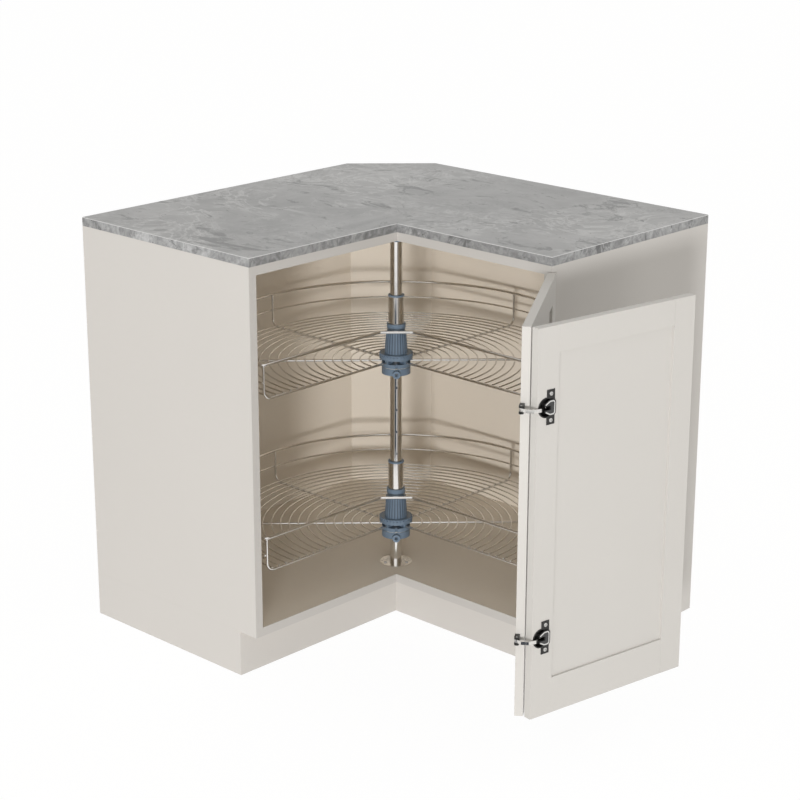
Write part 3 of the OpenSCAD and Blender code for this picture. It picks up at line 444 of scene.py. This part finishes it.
def stone_pattern():
    material, add, shader = finish("grey_stone_pattern", STONE, 0.38, IOR=1.48)
    spot = place(add)
    bent = place(add, (1.0, 1.8, 1.0), (0, 0, math.radians(38)))
    small = grain(add, spot, 30, 7, 0.68, 0.8)
    clouds = grain(add, spot, 4.0, 9, 0.64, 1.6)
    base = blend_between(add, clouds, 0.34, 0.66, shade(STONE, 0.80), shade(STONE, 1.16))
    base = lay(add, base, blend_between(add, small, 0.34, 0.68, (0.84,) * 3, (1.0,) * 3), 0.9,
               "MULTIPLY")
    # Thin curled streaks, pale and dark, that come and go
    for is_bent, scale, curl, share, most in STREAKS:
        where = bent if is_bent else spot
        folded = reckon(add, "PINGPONG", grain(add, where, scale, 7, 0.6, curl), 0.5)
        thin = between(add, folded, 0.455, 0.5, 0.0, 1.0)
        comes = between(add, grain(add, where, scale * 0.7, 3), 0.46, 0.62, 0.0, most)
        base = lay(add, base, shade(STONE, share), reckon(add, "MULTIPLY", thin, comes))
    # Dark smudges with ragged edges
    ragged = grain(add, bent, 5.6, 9, 0.74, 2.4)
    base = lay(add, base, shade(STONE, SMUDGE_SHADE), between(add, ragged, 0.565, 0.615, 0.0, 0.95))
    # Small pits, in a few of the cells only
    cells = add("ShaderNodeTexVoronoi", in_Vector=spot, in_Scale=PIT_CELLS_TO_METRE,
                in_Randomness=1.0).outputs
    chosen = add("ShaderNodeSeparateColor", in_Color=cells["Color"]).outputs[0]
    pit = reckon(add, "MULTIPLY", between(add, cells["Distance"], 0.10, 0.17, 1.0, 0.0),
                 between(add, chosen, 0.84, 0.88, 0.0, 1.0))
    base = lay(add, base, shade(STONE, PIT_SHADE), pit)
    # The edges are darker and more mottled than the top, and the arris, by how far its faces tilt
    # up, carries a painted highlight
    rise = add("ShaderNodeSeparateXYZ",
               in_0=add("ShaderNodeNewGeometry").outputs["True Normal"]).outputs[2]
    side = between(add, rise, 0.2, 0.5, 1.0, 0.0)
    arris = reckon(add, "MULTIPLY", between(add, rise, 0.55, 0.68, 0.0, 1.0),
                   between(add, rise, 0.75, 0.90, 1.0, 0.0))
    mottle = blend_between(add, grain(add, spot, 55, 6, 0.66, 1.0), 0.36, 0.64,
                           (EDGE_SHADE,) * 3, (1.0,) * 3)
    base = lay(add, base, mottle, side, "MULTIPLY")
    join(lay(add, base, shade(STONE, ARRIS_PAINTED_HIGHLIGHT), arris), shader, "Base Color")
    join(between(add, small, 0.3, 0.7, 0.32, 0.46), shader, "Roughness")
    height = reckon(add, "MULTIPLY_ADD", pit, -1.0, grain(add, spot, 700, 3))
    relief(add, shader, height, 0.1 * MM, 0.5)
    return material


bm = merged_copy("worktop")
ease_edges(bm, STONE_EASE)
to_piece("worktop_slab", bm, "cabinet", "worktop", stone_pattern(), ["worktop"])


# ---------------------------------------------------------------- Screws and steel fittings
# Zinc-plated screws hold legs, worktop, post and hinges; the hinge plates have the same plating.
# The plating is bright, slightly blue, and cloudy from the bath.
ZINC = (0.60, 0.61, 0.63)
PLATED_EASE = 0.12 * MM


def zinc_plate(name, colour, rough):
    material, add, shader = finish(name, colour, rough, 1.0)
    spot = place(add)
    bath = grain(add, spot, 180, 4, 0.6, 0.5)
    join(blend_between(add, bath, 0.3, 0.7, shade(colour, 0.86), shade(colour, 1.08)), shader,
         "Base Color")
    join(between(add, bath, 0.3, 0.7, rough - 0.07, rough + 0.1), shader, "Roughness")
    relief(add, shader, grain(add, spot, 2400, 2), 0.02 * MM, 0.5)
    return material


zinc = zinc_plate("bright_zinc", ZINC, 0.3)
for node, body in (("leg_screws", "cabinet"), ("worktop_screws", "cabinet"),
                   ("floor_flange_screws", "cabinet"), ("top_socket_screws", "cabinet"),
                   ("collar_screws", "cabinet"), ("cabinet_hinge_plates", "cabinet"),
                   ("cabinet_hinge_screws", "cabinet"), ("hinge_pins", "cabinet"),
                   ("door_hinge_plates", "leaf_a"), ("door_hinge_screws", "leaf_a"),
                   ("fold_hinge_pins", "leaf_a"), ("fold_hinge_block_screws", "leaf_a")):
    bm = merged_copy(node)
    ease_edges(bm, PLATED_EASE, 1)
    to_piece(node + "_plated", bm, body, "steel", zinc, [node])


# ---------------------------------------------------------------- Post, sleeves and flange
# A bright plated steel tube stands on a pressed flange on the cabinet floor, held above by a
# moulded socket. Four dimples locate the upper collar. A wider sleeve stands in each hub.
CHROME = (0.84, 0.825, 0.80)
TUBE_EASE = 0.2 * MM


def bright_plate(name, colour, rough, wipe=(1, 1, 1)):
    """Bright plating: almost a mirror, with faint polishing marks."""
    material, add, shader = finish(name, colour, rough, 1.0)
    marks = grain(add, place(add, wipe), 420, 3, 0.6)
    haze = grain(add, place(add), 14, 3)
    join(blend_between(add, haze, 0.3, 0.7, shade(colour, 0.95), shade(colour, 1.04)), shader,
         "Base Color")
    join(between(add, marks, 0.3, 0.7, rough - 0.03, rough + 0.05), shader, "Roughness")
    relief(add, shader, marks, 0.012 * MM, 0.4)
    return material


tube_plate = bright_plate("bright_tube", CHROME, 0.09, (1, 1, 0.12))
for node, body in (("post", "cabinet"), ("floor_flange", "cabinet"),
                   ("sleeve_lower", "carousel_lower"), ("sleeve_upper", "carousel_upper")):
    bm = merged_copy(node)
    ease_edges(bm, TUBE_EASE)
    to_piece(node + "_tube", bm, body, "chrome", tube_plate, [node])


# ---------------------------------------------------------------- Hubs and collars
# Blue-grey moulded hubs turn on a white washer on a split collar clamped to the post. A hub has
# a ring, ribs round the spokes' ends, a toothed flange, a fluted cone and a neck below a ring.
HUB_BLUE = (0.150, 0.205, 0.275)
FLUTES, CONE_R, CONE_R_SPREAD = 24, 22.2 * MM, 2.2 * MM
HUB_EASE = 0.25 * MM


def flutes(add):
    """Where painted shade darkens the cone's narrow flutes: up to 0.75 in them, 0 elsewhere, by the
    turn round the post.
    """
    axes = add("ShaderNodeSeparateXYZ", in_0=place(add)).outputs
    across_x = reckon(add, "SUBTRACT", axes[0], POST_X)
    across_y = reckon(add, "SUBTRACT", axes[1], POST_Y)
    wave = reckon(add, "COSINE", reckon(add, "MULTIPLY", reckon(add, "ARCTAN2", across_y, across_x),
                                        FLUTES))
    flat = add("ShaderNodeCombineXYZ", in_0=across_x, in_1=across_y).outputs[0]
    radius = add("ShaderNodeVectorMath", operation="LENGTH", in_0=flat).outputs["Value"]
    on_cone = reckon(add, "COMPARE", radius, CONE_R, CONE_R_SPREAD)
    return reckon(add, "MULTIPLY", on_cone, between(add, wave, -0.2, -0.6, 0.0, 0.75))


# The hubs' flutes are darkened with painted shade
hub_plastic = moulded("blue_grey_plastic", HUB_BLUE, 0.36, painted_groove_shade=flutes, IOR=1.5)
for node, body in (("top_socket", "cabinet"), ("collar_lower", "cabinet"),
                   ("collar_upper", "cabinet"), ("hub_lower", "carousel_lower"),
                   ("hub_upper", "carousel_upper"), ("sleeve_cap_lower", "carousel_lower"),
                   ("sleeve_cap_upper", "carousel_upper")):
    bm = merged_copy(node)
    ease_edges(bm, HUB_EASE, 1)
    to_piece(node + "_moulded", bm, body, "hub_plastic", hub_plastic, [node])

WASHER_WHITE = (0.72, 0.72, 0.69)
WASHER_EASE = 0.2 * MM
washer_plastic = moulded("white_washer_plastic", WASHER_WHITE, 0.32)
for node in ("bearing_washer_lower", "bearing_washer_upper"):
    bm = merged_copy(node)
    ease_edges(bm, WASHER_EASE, 1)
    to_piece(node + "_moulded", bm, "cabinet", "washer_plastic", washer_plastic, [node])


# ---------------------------------------------------------------- Wire baskets
# Chrome-plated wire, resistance-welded: a 6 mm rim, a 4 mm rail, seven 5 mm spokes that turn up
# to the rim, and seventeen 3 mm rings that lie across the spokes as the floor.
# Sizes are in millimetres, from the middle of the spokes where they meet the post.
RIM_R, RIM_WIRE, RIM_RISE = 379, 6, 70
RIM_CORNER, CHORD, CHORD_BEND = 12, 49, 8
RAIL_WIRE, RAIL_RISE = 4, 35
SPOKE_WIRE, SPOKE_START, SPOKE_BEND = 5, 17.6, 18
RING_WIRE, RING_FIRST, RING_LAST, RING_PITCH = 3, 360, 49, 19
SWEEP = 270
SPOKE_TURNS = range(0, SWEEP + 1, 45)
RING_RADII = range(RING_FIRST, RING_LAST, -RING_PITCH)
SINK = 0.5
LOWER_SPOKES, UPPER_SPOKES = 200.3 * MM, 562.3 * MM
# A bead's width and height on a ring, on the rail and below the rim
RING_BEAD, RAIL_BEAD, RIM_BEAD = (2.1, 1.1), (2.3, 2.0), (2.9, 2.2)
FINE_STEP, BEND_STEP, SMALL_RING_STEP, SMALL_RING = 3, 9, 5, 150
wire_plate = bright_plate("bright_wire", shade(CHROME, 0.97), 0.13)


def arc_points(centre, radius, start, sweep, step):
    """Points on an arc in the level plane."""
    count = max(2, math.ceil(abs(sweep) / step) + 1)
    return [(centre[0] + radius * math.cos(math.radians(start + sweep * k / (count - 1))),
             centre[1] + radius * math.sin(math.radians(start + sweep * k / (count - 1))))
            for k in range(count)]


def across(points):
    """Mirror image over the basket's middle line, walked the other way."""
    return [(-y, -x) for x, y in reversed(points)]


def rim_path():
    """The rim: a chord past the post, a side out to a rounded corner, the hoop, and back."""
    lean = math.degrees(math.asin(RIM_CORNER / (RIM_R - RIM_CORNER)))
    corner_x = (RIM_R - RIM_CORNER) * math.cos(math.radians(lean))
    run = CHORD_BEND * math.tan(math.radians(45 / 2))
    side = arc_points((CHORD + run, -CHORD_BEND), CHORD_BEND, 135, -45, BEND_STEP)
    side += arc_points((corner_x, RIM_CORNER), RIM_CORNER, -90, 90 + lean, BEND_STEP)
    hoop = arc_points((0, 0), RIM_R, lean, SWEEP - 2 * lean, FINE_STEP)
    return side + hoop[1:-1] + across(side)


def add_rod(curve, points, wire, height, closed=False):
    """One length of wire along points (x, y) or (x, y, z)."""
    spline = curve.splines.new("POLY")
    spline.points.add(len(points) - 1)
    for dot, p in zip(spline.points, points):
        dot.co = (POST_X + p[0] * MM, POST_Y + p[1] * MM,
                  height + (p[2] if len(p) > 2 else 0) * MM, 1)
        dot.radius = wire / 2
    spline.use_cyclic_u = closed
    spline.use_smooth = True


def wire_basket(name, spokes_at, body, node):
    """All the wires as one swept curve, turned into a mesh and given its weld beads."""
    curve = bpy.data.curves.new(name, "CURVE")
    curve.dimensions = "3D"
    curve.bevel_depth = MM
    curve.bevel_resolution = 3
    curve.use_fill_caps = True
    add_rod(curve, rim_path(), RIM_WIRE, spokes_at + RIM_RISE * MM, True)
    rail_r = RIM_R - RIM_WIRE / 2 + RAIL_WIRE / 2
    add_rod(curve, arc_points((0, 0), rail_r, 0, SWEEP, FINE_STEP), RAIL_WIRE,
            spokes_at + RAIL_RISE * MM)
    out = RIM_R - RIM_WIRE / 2 - SPOKE_WIRE / 2 + SINK
    bend = [(out - SPOKE_BEND + SPOKE_BEND * math.sin(math.radians(a)),
             SPOKE_BEND - SPOKE_BEND * math.cos(math.radians(a)))
            for a in range(0, 91, BEND_STEP)]
    for turn in SPOKE_TURNS:
        c, s = math.cos(math.radians(turn)), math.sin(math.radians(turn))
        add_rod(curve, [(r * c, r * s, z) for r, z in [(SPOKE_START, 0), *bend, (out, RIM_RISE)]],
                SPOKE_WIRE, spokes_at)
    ring_rise = (SPOKE_WIRE + RING_WIRE) / 2 - SINK
    for radius in RING_RADII:
        step = FINE_STEP if radius > SMALL_RING else SMALL_RING_STEP
        add_rod(curve, arc_points((0, 0), radius, 0, SWEEP, step), RING_WIRE,
                spokes_at + ring_rise * MM)
    rods = bpy.data.objects.new(name, curve)
    bpy.context.collection.objects.link(rods)
    bm = bmesh.new()
    bm.from_mesh(bpy.data.meshes.new_from_object(
        rods.evaluated_get(bpy.context.evaluated_depsgraph_get())))
    bpy.data.objects.remove(rods)
    # A flattened weld bead where each ring lies on a spoke, and where each upright meets a hoop
    beads = [(r, (SPOKE_WIRE - SINK) / 2 + 0.1, RING_BEAD) for r in RING_RADII]
    beads += [(out + 0.8, RAIL_RISE, RAIL_BEAD), (out + 1.2, RIM_RISE - 1.5, RIM_BEAD)]
    for turn in SPOKE_TURNS:
        c, s = math.cos(math.radians(turn)), math.sin(math.radians(turn))
        for r, rise, (wide, tall) in beads:
            at = Vector((POST_X + r * c * MM, POST_Y + r * s * MM, spokes_at + rise * MM))
            bmesh.ops.create_icosphere(bm, subdivisions=1, radius=MM, matrix=Matrix.Translation(at)
                                       @ Matrix.Diagonal((wide, wide, tall, 1)))
    to_piece(name, bm, body, "chrome", wire_plate, [node], 60)


wire_basket("basket_lower_wire", LOWER_SPOKES, "carousel_lower", "basket_lower")
wire_basket("basket_upper_wire", UPPER_SPOKES, "carousel_upper", "basket_upper")


# ---------------------------------------------------------------- Door leaves
# Two framed leaves of painted board: stiles and rails 16 mm thick round a thin centre panel.
# The paint is satin, with a faint hairline where the rails butt against the stiles.
DOOR_PAINT = (0.635, 0.615, 0.588)
FRAME_EASE, PANEL_EASE = 0.5 * MM, 0.2 * MM


def satin_paint():
    material, add, shader = finish("satin_door_paint", DOOR_PAINT, 0.4, IOR=1.46)
    spot = place(add)
    clouds = blend_between(add, grain(add, spot, 3.0, 3), 0.3, 0.7, shade(DOOR_PAINT, 0.985),
                           shade(DOOR_PAINT, 1.01))
    mist = grain(add, spot, 620, 3, 0.6)
    join(clouds, shader, "Base Color")
    join(between(add, mist, 0.3, 0.7, 0.36, 0.45), shader, "Roughness")
    relief(add, shader, mist, 0.05 * MM, 0.5)
    return material


door_paint = satin_paint()
for leaf in ("leaf_a", "leaf_b"):
    for part, ease in (("stiles", FRAME_EASE), ("rails", FRAME_EASE), ("panel", PANEL_EASE)):
        bm = merged_copy(f"{leaf}_{part}")
        ease_edges(bm, ease)
        to_piece(f"{leaf}_{part}_painted", bm, leaf, "door_board", door_paint, [f"{leaf}_{part}"])


# ---------------------------------------------------------------- Fold hinges
# Two concealed hinges join the leaves: a black block and pin on leaf A's edge, an arched plated
# arm, and a black cup and wing plate in leaf B below a dark moulded cover.
HINGE_BLACK = (0.035, 0.034, 0.033)
COVER_BLACK = (0.035, 0.035, 0.036)
ARM_PLATE = (0.74, 0.72, 0.69)
BLOCK_EASE, CUP_EASE, COVER_EASE, ARM_EASE = 0.5 * MM, 0.25 * MM, 0.6 * MM, 0.3 * MM


def black_coat():
    material, add, shader = finish("black_hinge_coat", HINGE_BLACK, 0.33, 0.6)
    spot = place(add)
    patches = grain(add, spot, 120, 3)
    coat = blend_between(add, patches, 0.3, 0.7, shade(HINGE_BLACK, 0.8), shade(HINGE_BLACK, 1.4))
    join(coat, shader, "Base Color")
    join(between(add, patches, 0.3, 0.7, 0.26, 0.42), shader, "Roughness")
    relief(add, shader, grain(add, spot, 900, 3, 0.6), 0.03 * MM)
    return material


hinge_black = black_coat()
cover_plastic = moulded("dark_cover_plastic", COVER_BLACK, 0.34)
bright_hinge = zinc_plate("bright_hinge_plate", ARM_PLATE, 0.16)
for node, body, ease, slot, material in (
        ("fold_hinge_blocks", "leaf_a", BLOCK_EASE, "hinge_black", hinge_black),
        ("fold_hinge_cups", "leaf_b", CUP_EASE, "hinge_black", hinge_black),
        ("fold_hinge_covers", "leaf_b", COVER_EASE, "cover_plastic", cover_plastic),
        ("fold_hinge_arms", "fold_arms", ARM_EASE, "steel", bright_hinge)):
    bm = merged_copy(node)
    ease_edges(bm, ease)
    to_piece(node + "_made", bm, body, slot, material, [node])


# ---------------------------------------------------------------- Hinge bands and screw heads
# A bright rolled band lies round the edge of each hinge cover, open where the arm comes out.
# Two pan-head screws with a cross recess hold each cup's wing plate to leaf B.
# Half of the band's path, in millimetres from the cover's centre; the rest is its mirror image.
COVER_EDGE = ((-5.0, 5.9), (-4.2, 7.0), (3.8, 11.4), (5.8, 11.9), (12.0, 11.9), (14.3, 10.6),
              (15.2, 8.4))
COVER_OUT = 18.5
BAND_WIDE, BAND_TALL, BAND_LOW, BAND_SIDES = 1.35, 1.1, 0.35, 12
BAND_PLATE, SCREW_PLATE = (0.70, 0.69, 0.67), (0.62, 0.61, 0.59)
HEAD_ALONG, HEAD_APART, HEAD_DOWN = 10, 24, 5.2
HEAD_R, HEAD_FOOT, HEAD_TOP, HEAD_FLAT, HEAD_SIDES = 4.0, 1.25, 2.7, 2.3, 36
CROSS_LONG, CROSS_WIDE, CROSS_DEEP = 1.9, 0.45, 0.9


def middle(node):
    points = [v.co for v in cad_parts[node].data.vertices]
    return sum(points, Vector()) / len(points)


def cover_places():
    """Each cover's own axes: along the leaf from the fold, up, and out of the leaf's face."""
    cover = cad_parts["fold_hinge_covers"].data
    out = max(cover.polygons, key=lambda face: face.area).normal.copy()
    if out.dot(middle("fold_hinge_covers") - middle("leaf_b_panel")) < 0:
        out = -out
    along = Vector((out.y, -out.x, 0))
    if along.dot(middle("fold_hinge_cups") - middle("fold_hinge_blocks")) < 0:
        along = -along
    up = out.cross(along)
    level = middle("fold_hinge_covers").z
    for above in (False, True):
        points = [v.co for v in cover.vertices if (v.co.z > level) == above]
        centre = (along * (max(p.dot(along) for p in points) - COVER_OUT * MM)
                  + out * max(p.dot(out) for p in points))
        centre.z = (min(p.z for p in points) + max(p.z for p in points)) / 2
        yield Matrix.Translation(centre) @ Matrix((along, up, out)).transposed().to_4x4()


def edges_of(bm, verts):
    """The edges that join the given vertices to each other."""
    verts = set(verts)
    return [edge for edge in bm.edges if verts.issuperset(edge.verts)]


def rolled_band():
    """A flattened bead: an oval set square to the cover's edge at each point, and bridged."""
    bm = bmesh.new()
    path = [Vector((*p, 0)) for p in COVER_EDGE]
    path += [Vector((x, -y, 0)) for x, y in reversed(COVER_EDGE)]
    ovals = []
    for before, at, after in zip([path[0], *path], path, [*path[1:], path[-1]]):
        run = (after - before).normalized()
        side, high = Vector((run.y, -run.x, 0)) * BAND_WIDE, Vector((0, 0, BAND_TALL))
        set_square = Matrix((side, high, run)).transposed().to_4x4()
        oval = bmesh.ops.create_circle(
            bm, segments=BAND_SIDES, radius=1, matrix=Matrix.Scale(MM, 4)
            @ Matrix.Translation(at - Vector((0, 0, BAND_LOW))) @ set_square)["verts"]
        ovals.append(edges_of(bm, oval))
    for first, second in zip(ovals, ovals[1:]):
        bmesh.ops.bridge_loops(bm, edges=first + second)
    for end in (ovals[0], ovals[-1]):
        bmesh.ops.edgeloop_fill(bm, edges=end)
    bmesh.ops.recalc_face_normals(bm, faces=bm.faces)
    return bm


def pulled(bm, edges):
    """Extrudes a loop of edges; returns the new loop's vertices."""
    made = bmesh.ops.extrude_edge_only(bm, edges=edges)["geom"]
    return [v for v in made if isinstance(v, bmesh.types.BMVert)]


def cross_head():
    """A flat top with a cross sunk in it, and the dome's side drawn down in three steps."""
    bm = bmesh.new()
    top = Matrix.Translation((0, 0, HEAD_TOP * MM))
    rim = bmesh.ops.create_circle(bm, segments=HEAD_SIDES, radius=HEAD_FLAT * MM,
                                  matrix=top)["verts"]
    w, g = CROSS_WIDE, CROSS_LONG
    cross = [bm.verts.new((x * MM, y * MM, HEAD_TOP * MM)) for x, y in (
        (g, -w), (g, w), (w, w), (w, g), (-w, g), (-w, w), (-g, w), (-g, -w), (-w, -w),
        (-w, -g), (w, -g), (w, -w))]
    for ends in zip(cross, [*cross[1:], cross[0]]):
        bm.edges.new(ends)
    rim_edges, cross_edges = edges_of(bm, rim), edges_of(bm, cross)
    bmesh.ops.triangle_fill(bm, use_beauty=True, edges=rim_edges + cross_edges)
    sunk = pulled(bm, cross_edges)
    bmesh.ops.translate(bm, verts=sunk, vec=(0, 0, -CROSS_DEEP * MM))
    bmesh.ops.edgeloop_fill(bm, edges=edges_of(bm, sunk))
    for a in (30, 60, 90):
        r = HEAD_FLAT + (HEAD_R - HEAD_FLAT) * math.sin(math.radians(a))
        z = HEAD_FOOT + (HEAD_TOP - HEAD_FOOT) * math.cos(math.radians(a))
        wider = r * MM / rim[0].co.xy.length
        rim = pulled(bm, rim_edges)
        rim_edges = edges_of(bm, rim)
        bmesh.ops.scale(bm, verts=rim, vec=(wider, wider, 1))
        bmesh.ops.translate(bm, verts=rim, vec=(0, 0, z * MM - rim[0].co.z))
    bmesh.ops.edgeloop_fill(bm, edges=rim_edges)
    bmesh.ops.recalc_face_normals(bm, faces=bm.faces)
    return bm


band_plate = bright_plate("bright_band", BAND_PLATE, 0.16)
screw_plate = zinc_plate("bright_screw_plate", SCREW_PLATE, 0.24)
all_heads = bmesh.new()
for level, cover_at in zip(("lower", "upper"), cover_places()):
    bm = rolled_band()
    bm.transform(cover_at)
    to_piece(f"cover_band_{level}", bm, "leaf_b", "chrome", band_plate, smooth=50)
    for side in (-1, 1):
        bm = cross_head()
        bm.transform(cover_at @ Matrix.Translation(Vector((HEAD_ALONG, side * HEAD_APART,
                                                           -HEAD_DOWN)) * MM))
        one_head = bpy.data.meshes.new("screw_head")
        bm.to_mesh(one_head)
        bm.free()
        all_heads.from_mesh(one_head)
to_piece("fold_hinge_cup_screws_made", all_heads, "leaf_b", "steel", screw_plate,
         ["fold_hinge_cup_screws"])
